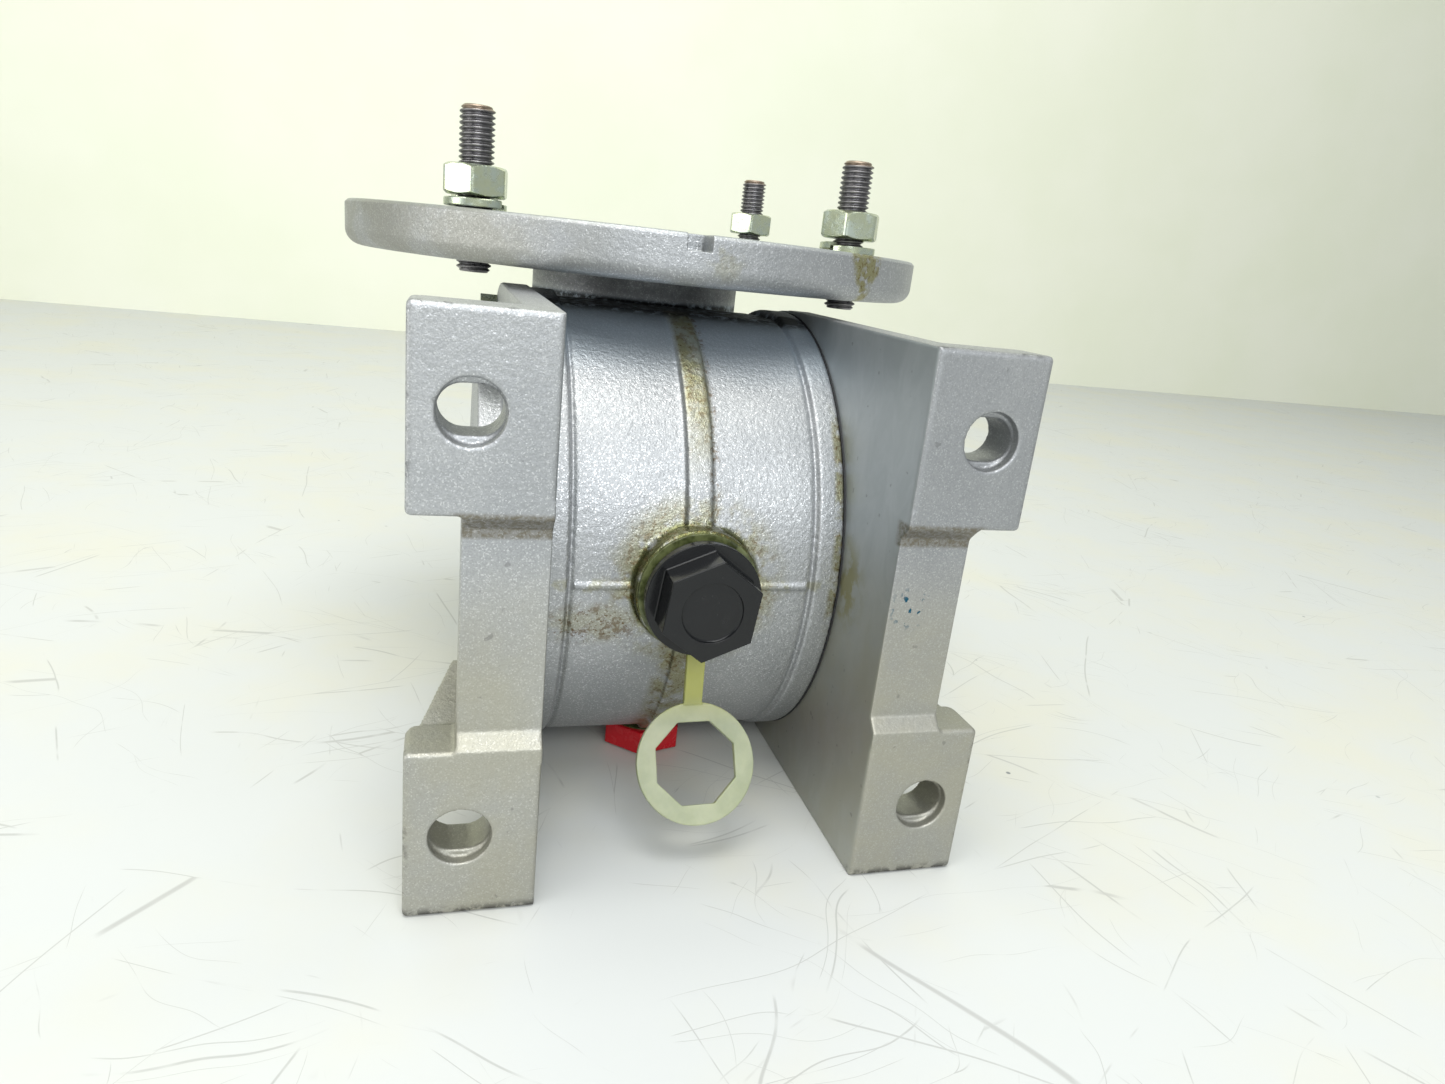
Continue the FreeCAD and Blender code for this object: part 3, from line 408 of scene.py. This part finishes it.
def cover_stains_and_shade(s):
    """Painted shade with some dirt under the upper pads, painted warm bounce light on the low parts, blue
    specks, an oily patch inside, scuffed feet.
    """
    across = s.math("ABSOLUTE", s.x)
    spot = s.step(s.distance((s.x, 49.0), (s.y, -102.6), (s.z, 6.0)), 7.0, 2.5)
    blue = s.times(spot, s.step(s.noise(0.55, 2.0, 0.5), 0.60, 0.63))
    patch = s.times(s.step(s.distance((s.x, INNER_FACE_X), (s.y, -75.0), (s.z, 2.0)), 16.0, 5.0),
                    s.step(s.noise(0.16, 4.0, 0.65), 0.38, 0.58))
    # Painted shade on the sloped faces under the upper pads, mixed with some brown dirt.
    dirt = s.times(near(s, s.z, 26.0, 2.6, 1.2), s.step(s.y, -99.0, -102.0), s.step(across, 66.0, 63.0))
    dirt = s.times(dirt, s.blend(s.step(s.noise(0.9, 3.0, 0.7), 0.42, 0.60), 0.55, 1.0))
    # Painted warm light bounced from the table onto the low parts, patchy by noise.
    warm_bounce = s.times(s.step(s.z, 25.0, -15.0), s.blend(s.step(s.noise(0.06, 3.0, 0.6), 0.3, 0.7), 0.6, 1.0))
    front = s.step(s.y, -101.0, -105.0)
    scuff = s.times(s.step(s.z, -69.5, -72.4), front, s.step(s.noise(0.30, 4.0, 0.7), 0.40, 0.56))
    edge = s.times(s.step(s.z, 71.4, 72.7), front, s.step(s.noise(0.3, 4.0, 0.7), 0.52, 0.66))
    corner = s.times(s.step(across, 72.6, 74.2), front, s.step(s.noise(0.28, 4.0, 0.7), 0.52, 0.64))
    spots = s.step(s.noise(0.33, 2.0, 0.5), 0.70, 0.75)
    # The second and third entries are painted shade with some dirt under the pads and painted warm bounce
    # light low down.
    return [(s.times(patch, 0.8), OIL, 0.35), (s.times(dirt, 0.75), (0.13, 0.105, 0.055), 0.5),
            (s.times(warm_bounce, 0.65), (0.39, 0.37, 0.275), 0.5),
            (blue, BLUE_PAINT, 0.5), (s.times(spots, 0.35), (0.10, 0.10, 0.10), 0.55),
            (s.times(s.most(scuff, s.times(edge, 0.6), s.times(corner, 0.5)), 0.85), (0.03, 0.03, 0.03), 0.6)]


def inner_faces(s):
    """The covers' flat inner faces are machined smooth."""
    on_face = near(s, s.math("ABSOLUTE", s.x), INNER_FACE_X, 0.15, 0.35)
    return s.times(on_face, s.step(s.math("ABSOLUTE", s.facing[0]), 0.7, 0.95))


def flange_machining(s):
    """The flange's motor face and register are turned."""
    return s.times(s.step(s.facing[2], 0.6, 0.9), s.step(s.z, 86.0, 87.0))


def turned_metal(name, light, dark, roughness, axis="x", centre=(0.0, 0.0), metallic=1.0, stain=0.3):
    """Turned or ground metal with fine rings round an axis and a little grime."""
    s = Shader(name)
    across = {"x": (s.y, s.z), "z": (s.x, s.y)}[axis]
    along = {"x": s.x, "z": s.z}[axis]
    radius = s.distance((across[0], centre[0]), (across[1], centre[1]))
    rings = s.noise(6.0, 2.0, 0.6, s.vector(radius, along, 0.0))
    dirt = s.step(s.noise(0.25, 4.0, 0.65), 0.45, 0.75)
    colour = s.mix(s.times(dirt, stain), s.mix(rings, light, dark), (0.13, 0.12, 0.09))
    s.set(Base_Color=colour, Metallic=metallic,
          Roughness=s.blend(dirt, s.blend(rings, roughness * 0.8, roughness * 1.2), roughness * 1.6))
    s.bump(s.plus(rings, s.times(s.noise(1.2, 3.0), 0.5)), 0.03, 0.5)
    return s.material


def zinc_plate():
    """Bright zinc with a faint yellow-green passivation."""
    s = Shader("zinc_plate")
    cloud = s.step(s.noise(0.25, 3.0, 0.6), 0.35, 0.7)
    colour = s.mix(cloud, (0.52, 0.56, 0.40), (0.46, 0.52, 0.46))
    colour = s.mix(s.times(s.step(s.noise(0.6, 4.0, 0.7), 0.58, 0.74), 0.6), colour, (0.26, 0.26, 0.15))
    s.set(Base_Color=colour, Metallic=0.95, Roughness=s.blend(cloud, 0.20, 0.32))
    s.bump(s.plus(s.noise(0.8, 3.0), s.times(s.noise(4.0, 2.0), 0.3)), 0.06, 0.7)
    return s.material


def stud_steel():
    """Grey rolled threads, brighter where rubbed, with a tan, slightly rusty end."""
    s = Shader("stud_steel")
    rub = s.step(s.noise(0.5, 4.0, 0.7), 0.30, 0.75)
    colour = s.mix(rub, (0.17, 0.165, 0.175), (0.27, 0.26, 0.265))
    colour = s.mix(s.times(s.step(s.z, 118.6, 119.6), 0.8), colour, (0.34, 0.26, 0.19))
    s.set(Base_Color=colour, Metallic=0.9, Roughness=s.blend(rub, 0.26, 0.40))
    s.bump(s.noise(2.2, 3.0), 0.04, 0.6)
    return s.material


def black_oxide():
    """Blackened steel, greyer where rubbed."""
    s = Shader("black_oxide")
    rub = s.step(s.noise(0.5, 4.0, 0.7), 0.48, 0.72)
    colour = s.mix(rub, (0.035, 0.030, 0.036), (0.12, 0.095, 0.10))
    s.set(Base_Color=colour, Metallic=0.85, Roughness=s.blend(rub, 0.42, 0.55))
    s.bump(s.noise(2.2, 3.0), 0.04, 0.6)
    return s.material


def plain_rubber(name, colour):
    """Dark rubber or paper with some dust."""
    s = Shader(name)
    dust = s.step(s.noise(0.5, 4.0, 0.7), 0.5, 0.75)
    lighter = tuple(min(1.0, channel * 2.2 + 0.03) for channel in colour)
    s.set(Base_Color=s.mix(s.times(dust, 0.5), colour, lighter), Roughness=s.blend(dust, 0.5, 0.75))
    s.bump(s.noise(1.6, 4.0), 0.05, 0.5)
    return s.material


def black_plastic():
    """Moulded black plastic with a fine texture, a little dust and light specks."""
    s = Shader("black_plastic")
    dust = s.step(s.noise(0.22, 5.0, 0.7), 0.54, 0.80)
    specks = s.step(s.noise(1.1, 3.0, 0.6), 0.70, 0.74)
    colour = s.mix(s.times(dust, 0.15), (0.006, 0.0065, 0.0075), (0.05, 0.05, 0.05))
    colour = s.mix(s.times(specks, 0.35), colour, (0.14, 0.14, 0.13))
    s.set(Base_Color=colour, Roughness=s.blend(dust, 0.17, 0.34), Specular_IOR_Level=0.34)
    s.bump(s.plus(s.noise(1.6, 3.0), s.times(specks, 0.5)), 0.02, 0.4)
    return s.material


def keeper_plastic():
    """Milky polyethylene, yellowed by oil near the plug."""
    s = Shader("keeper_plastic")
    oiled = s.step(s.z, -38.0, -28.0)
    cloud = s.step(s.noise(0.16, 3.0, 0.6), 0.3, 0.7)
    clean = s.mix(cloud, (0.40, 0.44, 0.28), (0.50, 0.53, 0.36))
    colour = s.mix(s.times(oiled, 0.85), clean, (0.52, 0.52, 0.13))
    s.set(Base_Color=colour, Roughness=s.blend(oiled, 0.36, 0.22), Subsurface_Weight=0.45,
          Subsurface_Radius=(0.006, 0.006, 0.003), Subsurface_Scale=0.4, Transmission_Weight=0.35, IOR=1.45)
    s.bump(s.plus(s.noise(0.35, 3.0), s.times(s.noise(2.0, 2.0), 0.2)), 0.08, 0.5)
    return s.material


def red_plastic():
    """Glossy red plastic with some dust."""
    s = Shader("red_plastic")
    dust = s.step(s.noise(0.3, 4.0, 0.7), 0.5, 0.75)
    colour = s.mix(s.times(dust, 0.25), (0.50, 0.006, 0.014), (0.60, 0.09, 0.09))
    s.set(Base_Color=colour, Roughness=s.blend(dust, 0.26, 0.45))
    s.bump(s.noise(1.2, 3.0), 0.03, 0.4)
    return s.material


def oily_washer():
    """A sealing washer under a film of olive oil."""
    s = Shader("oily_washer")
    wet = s.step(s.noise(0.25, 3.0, 0.6), 0.35, 0.65)
    colour = s.mix(wet, (0.045, 0.055, 0.018), (0.15, 0.17, 0.07))
    s.set(Base_Color=colour, Metallic=0.2, Roughness=s.blend(wet, 0.10, 0.24))
    s.bump(s.noise(0.9, 3.0), 0.06, 0.5)
    return s.material


# ---------------------------------------------------------------- castings
def moulded(node, name, voxel_mm, steps, material):
    """A CAD node's stand-in with small round edges and a material."""
    piece = copy_of(node, name)
    soften(piece, voxel_mm * MM, steps)
    stand_in(piece, node)
    paint(piece, material)


def castings():
    """The case and the left cover are coarse and bright, and the right cover is smoother and darker."""
    case = cast_aluminium("cast_case", case_stains_and_shade, grit=1.35, light=0.45)
    right = cast_aluminium("cast_right_cover", cover_stains_and_shade, inner_faces, grit=0.55, light=0.38)
    left = cast_aluminium("cast_left_cover", cover_stains_and_shade, inner_faces, grit=1.0, light=0.445)
    flange = cast_aluminium("cast_flange", flange_stains, flange_machining, grit=1.1, light=0.43)
    for node, name, voxel_mm, steps, material in (
            ("gear_case", "gear_case_casting", 0.58, 3, case),
            ("right_foot_cover", "right_cover_casting", 0.45, 2, right),
            ("left_foot_cover", "left_cover_casting", 0.45, 2, left),
            ("input_flange", "flange_casting", 0.26, 1, flange)):
        moulded(node, name, voxel_mm, steps, material)


# ---------------------------------------------------------------- studs, nuts and washers
def rings_of_faces(rows, turns, closed):
    """Quads between neighbouring rows of points, each row a full turn; closed joins last row to first."""
    faces = []
    for row in range(rows if closed else rows - 1):
        following = (row + 1) % rows
        for turn in range(turns):
            after = (turn + 1) % turns
            faces.append((row * turns + turn, row * turns + after,
                          following * turns + after, following * turns + turn))
    return faces


def merged(name, shapes):
    """One piece from several (points, faces) shapes."""
    points, faces = [], []
    for more, sides in shapes:
        faces += [tuple(index + len(points) for index in side) for side in sides]
        points += more
    return mesh_piece(name, points, faces)


def threaded_rod(x, y, low, high, radius, pitch, chamfer):
    """Points and faces of a rod with a cut thread and chamfered ends."""
    turns, rows_per_pitch = 40, 10
    depth = 0.61 * pitch                # of a metric thread
    top, flank = 1.30, 2.9              # the crest is flat above 1, and each flank falls this steeply
    rows = round((high - low) / pitch * rows_per_pitch) + 1
    points = []
    for row in range(rows):
        z = low + (high - low) * row / (rows - 1)
        limit = radius - chamfer + min(z - low, high - z, chamfer)
        for turn in range(turns):
            angle = 2 * math.pi * turn / turns
            phase = (z / pitch - turn / turns) % 1.0
            crest = min(1.0, max(0.0, top - abs(phase - 0.5) * flank))
            reach = min(radius - depth * (1 - crest), limit)
            points.append((x + reach * math.cos(angle), y + reach * math.sin(angle), z))
    faces = rings_of_faces(rows, turns, False)
    faces.append(tuple(reversed(range(turns))))
    faces.append(tuple(range((rows - 1) * turns, rows * turns)))
    return points, faces


def studs():
    shapes = []
    for points in islands("flange_studs"):
        x, y, low, high = middle_of(points)
        shapes.append(threaded_rod(x, y, low, high, STUD_RADIUS, STUD_PITCH, STUD_CHAMFER))
    rods = merged("threaded_studs", shapes)
    shade_smooth(rods)
    stand_in(rods, "flange_studs")
    paint(rods, stud_steel())


def hexagon_nut(x, y, low, high, spin):
    """Points and faces of an M10 nut with 30 degree chamfers and a countersunk bore."""
    half_flats, corner, bore, sink = 8.5 * MM, 9.62 * MM, 5.06 * MM, 0.65 * MM
    face_radius, slope = 8.05 * MM, math.sqrt(3)
    turns, chamfer_rows, row_height = 144, 9, 0.115 * MM
    depths = [row_height * row for row in range(chamfer_rows)]
    rows = [(depth, low + depth) for depth in depths] + [(depth, high - depth) for depth in reversed(depths)]
    points = []

    def circle(radius, z):
        for turn in range(turns):
            angle = 2 * math.pi * turn / turns
            points.append((x + radius * math.cos(angle), y + radius * math.sin(angle), z))

    circle(bore, low + sink)
    circle(bore + sink, low)
    for depth, z in rows:
        for turn in range(turns):
            angle = 2 * math.pi * turn / turns
            from_flat = (angle - spin) % (math.pi / 3) - math.pi / 6
            reach = min(half_flats / math.cos(from_flat), corner, face_radius + slope * depth)
            points.append((x + reach * math.cos(angle), y + reach * math.sin(angle), z))
    circle(bore + sink, high)
    circle(bore, high - sink)
    return points, rings_of_faces(len(rows) + 4, turns, True)


def nuts(zinc):
    shapes = []
    for points in islands("stud_nuts"):
        x, y, low, high = middle_of(points)
        corner = max(points, key=lambda point: math.hypot(point.x - x, point.y - y))
        shapes.append(hexagon_nut(x, y, low, high, math.atan2(corner.y - y, corner.x - x)))
    piece = merged("chamfered_nuts", shapes)
    shade_smooth(piece, sharp_degrees=24)
    stand_in(piece, "stud_nuts")
    paint(piece, zinc)


# where each washer's split points, in degrees from +X, by the signs of X and of Y from the worm
SPLITS = {(1, 1): 130, (-1, 1): 205, (-1, -1): -32, (1, -1): -146}


def split_washer(x, y, low, split):
    """Points and faces of a helical spring washer whose far end has risen off the flange."""
    inner, outer, thick, rise, gap, corner = 5.4 * MM, 8.95 * MM, 2.2 * MM, 1.0 * MM, 8.0, 0.25 * MM
    section = [(inner, corner), (inner + corner, 0.0), (outer - corner, 0.0), (outer, corner),
               (outer, thick - corner), (outer - corner, thick), (inner + corner, thick),
               (inner, thick - corner)]
    steps = 90
    points = []
    for step in range(steps + 1):
        share = step / steps
        angle = math.radians(split + gap / 2 + (360 - gap) * share)
        for radius, height in section:
            points.append((x + radius * math.cos(angle), y + radius * math.sin(angle),
                           low + height + rise * share))
    faces = rings_of_faces(steps + 1, len(section), False)
    faces.append(tuple(range(len(section))))
    faces.append(tuple(range(steps * len(section), (steps + 1) * len(section))))
    return points, faces


def washers(zinc):
    shapes = []
    for points in islands("flange_studs"):
        x, y, _, _ = middle_of(points)
        side = (1 if x > 0 else -1, 1 if y > WORM_Y else -1)
        shapes.append(split_washer(x, y, FLANGE_TOP, SPLITS[side]))
    piece = merged("split_washers", shapes)
    shade_smooth(piece, sharp_degrees=30)
    stand_in(piece, "spring_washers")
    paint(piece, zinc)


# ---------------------------------------------------------------- plastics
def small_plastics():
    moulded("fill_plug", "fill_plug_moulding", 0.2, 3, black_plastic())
    moulded("plug_keeper", "plug_keeper_moulding", 0.16, 6, keeper_plastic())
    moulded("drain_plug", "drain_plug_moulding", 0.25, 3, red_plastic())


# ---------------------------------------------------------------- CAD nodes that keep their shape
def dress_nodes(zinc):
    worm_centre = (0.0, WORM_Y / MM)
    steel_x = turned_metal("ground_steel_x", (0.62, 0.63, 0.65), (0.50, 0.51, 0.53), 0.26)
    steel_z = turned_metal("ground_steel_z", (0.62, 0.63, 0.65), (0.50, 0.51, 0.53), 0.26, "z", worm_centre)
    ring_x = turned_metal("bearing_steel_x", (0.78, 0.79, 0.81), (0.68, 0.69, 0.72), 0.14, stain=0.1)
    ring_z = turned_metal("bearing_steel_z", (0.78, 0.79, 0.81), (0.68, 0.69, 0.72), 0.14, "z", worm_centre,
                          stain=0.1)
    bronze = turned_metal("bronze", (0.74, 0.50, 0.22), (0.62, 0.40, 0.16), 0.28)
    iron = turned_metal("cast_iron", (0.20, 0.20, 0.21), (0.13, 0.13, 0.14), 0.55, metallic=0.7)
    dark = plain_rubber("seal_rubber", (0.045, 0.034, 0.028))
    paper = plain_rubber("gasket_paper", (0.022, 0.022, 0.024))
    black = black_oxide()
    oily = oily_washer()
    looks = {
        "right_cover_bolts": zinc, "left_cover_bolts": zinc,
        "output_shaft": steel_x, "hub_key": steel_x, "right_spacer": steel_x, "left_spacer": steel_x,
        "worm_shaft": steel_z, "wheel_rim": bronze, "wheel_hub": iron,
        "right_output_seal": dark, "left_output_seal": dark, "input_seal": dark, "worm_end_cap": dark,
        "right_cover_gasket": paper, "left_cover_gasket": paper, "flange_gasket": paper,
        "flange_screws": black, "top_circlip": black, "low_circlip": black,
        "fill_plug_washer": oily, "drain_plug_washer": oily,
    }
    for label, material in (("right_output", ring_x), ("left_output", ring_x),
                            ("top_worm", ring_z), ("low_worm", ring_z)):
        for piece in ("outer_ring", "inner_ring", "balls"):
            looks["%s_%s" % (label, piece)] = material
    for node, material in looks.items():
        piece = frame["nodes"][node]
        paint(piece, material)
        bevel = piece.modifiers.new("Edge", "BEVEL")
        bevel.width = 0.25 * MM
        bevel.segments = 2
        bevel.limit_method = "ANGLE"
        bevel.angle_limit = math.radians(40)


# ---------------------------------------------------------------- table, wall, light and camera
# long faint scratches: direction in degrees from +X, and how close they lie
SCRATCHES = ((8, 0.042), (20, 0.022), (47, 0.048), (62, 0.016), (95, 0.038), (108, 0.020), (133, 0.046),
             (151, 0.026))


def table_top():
    """Pale table with fine scratches, small dark specks and faint cream stains."""
    s = Shader("pale_table")
    cloud = s.step(s.noise(0.010, 4.0, 0.6), 0.40, 0.75)
    colour = s.mix(cloud, (0.585, 0.60, 0.60), (0.61, 0.605, 0.54))
    marks = None
    for degrees, per_mm in SCRATCHES:
        angle = math.radians(degrees)
        along = s.plus(s.times(s.x, math.cos(angle)), s.times(s.y, math.sin(angle)))
        across = s.plus(s.times(s.x, -math.sin(angle)), s.times(s.y, math.cos(angle)))
        wave = s.times(s.noise(per_mm * 0.3, 2.0, 0.5), 45.0)
        line = s.cells(per_mm, "Distance", s.vector(s.plus(across, wave), s.times(along, 0.10), 0.0),
                       "DISTANCE_TO_EDGE")
        broken = s.step(s.noise(0.022, 3.0, 0.6, s.vector(s.x, s.y, degrees)), 0.53, 0.60)
        thin = s.times(s.step(line, 0.0032, 0.0008), broken)
        marks = thin if marks is None else s.most(marks, thin)
    specks = s.times(s.step(s.cells(0.035), 0.035, 0.02), s.step(s.noise(0.01), 0.5, 0.6))
    colour = s.mix(s.times(marks, 0.55), colour, (0.33, 0.33, 0.32))
    colour = s.mix(s.times(specks, 0.8), colour, (0.12, 0.14, 0.16))
    s.set(Base_Color=colour, Roughness=0.45)
    s.bump(s.times(marks, -1.0), 0.05, 0.4)
    return s.material


def plane(name, centre, size, rotation=(0, 0, 0)):
    mesh = bpy.data.meshes.new(name)
    half_x, half_y = size[0] / 2, size[1] / 2
    mesh.from_pydata([(-half_x, -half_y, 0), (half_x, -half_y, 0), (half_x, half_y, 0), (-half_x, half_y, 0)],
                     [], [(0, 1, 2, 3)])
    item = add_object(name, mesh)
    item.location = centre
    item.rotation_euler = rotation
    return item


def stage():
    table = plane("table", (0, 0, TABLE_Z), (6, 6))
    paint(table, table_top())
    wall_paint = Shader("pale_wall")
    tone = wall_paint.step(wall_paint.noise(0.004, 3.0, 0.6), 0.3, 0.7)
    wall_paint.set(Base_Color=wall_paint.mix(tone, (0.83, 0.85, 0.71), (0.86, 0.87, 0.75)), Roughness=0.8)
    wall = plane("wall", (0, 1.25, 1.5), (8, 4), (math.radians(90), 0, 0))
    paint(wall, wall_paint.material)


def area_light(name, place, target, size, power, colour):
    data = bpy.data.lights.new(name, "AREA")
    data.shape = "RECTANGLE"
    data.size, data.size_y = size
    data.energy = power
    data.color = colour
    lamp = bpy.data.objects.new(name, data)
    bpy.context.scene.collection.objects.link(lamp)
    lamp.location = place
    lamp.rotation_euler = (Vector(target) - Vector(place)).to_track_quat("-Z", "Y").to_euler()


def lights():
    world = bpy.data.worlds.new("studio")
    world.use_nodes = True
    background = world.node_tree.nodes["Background"]
    background.inputs["Color"].default_value = (0.96, 1.0, 0.99, 1)
    background.inputs["Strength"].default_value = 0.62
    bpy.context.scene.world = world
    for name, place, target, size, power, colour in (
            ("overhead", (-0.15, -0.35, 1.15), (0, 0, 0), (0.7, 0.6), 8, (1.0, 1.0, 0.96)),
            ("front", (0.0, -1.0, 0.55), (0, -0.05, -0.05), (0.8, 0.5), 6.5, (0.95, 0.98, 1.0)),
            ("left", (-1.2, -0.35, 0.35), (0, 0, 0), (0.9, 0.6), 5, (1.0, 1.0, 0.98)),
            ("wall_wash", (0, 0.2, 1.6), (0, 1.25, 0.6), (2.0, 0.4), 12, (1.0, 1.0, 0.94))):
        area_light(name, place, target, size, power, colour)


def camera():
    """A wide lens close in front, a little above and to the left of the middle."""
    data = bpy.data.cameras.new("camera")
    data.sensor_width = 36
    data.lens = 22.94
    data.clip_start = 0.01
    data.clip_end = 50
    item = bpy.data.objects.new("camera", data)
    bpy.context.scene.collection.objects.link(item)
    item.location = (-0.06629, -0.30091, 0.08629)
    item.rotation_euler = tuple(math.radians(angle) for angle in (72.990, -6.137, -15.725))
    bpy.context.scene.camera = item


camera()
stage()
lights()
castings()
studs()
zinc_finish = zinc_plate()
nuts(zinc_finish)
washers(zinc_finish)
small_plastics()
dress_nodes(zinc_finish)
bpy.context.scene.view_settings.view_transform = "Standard"

bpy.context.view_layer.update()
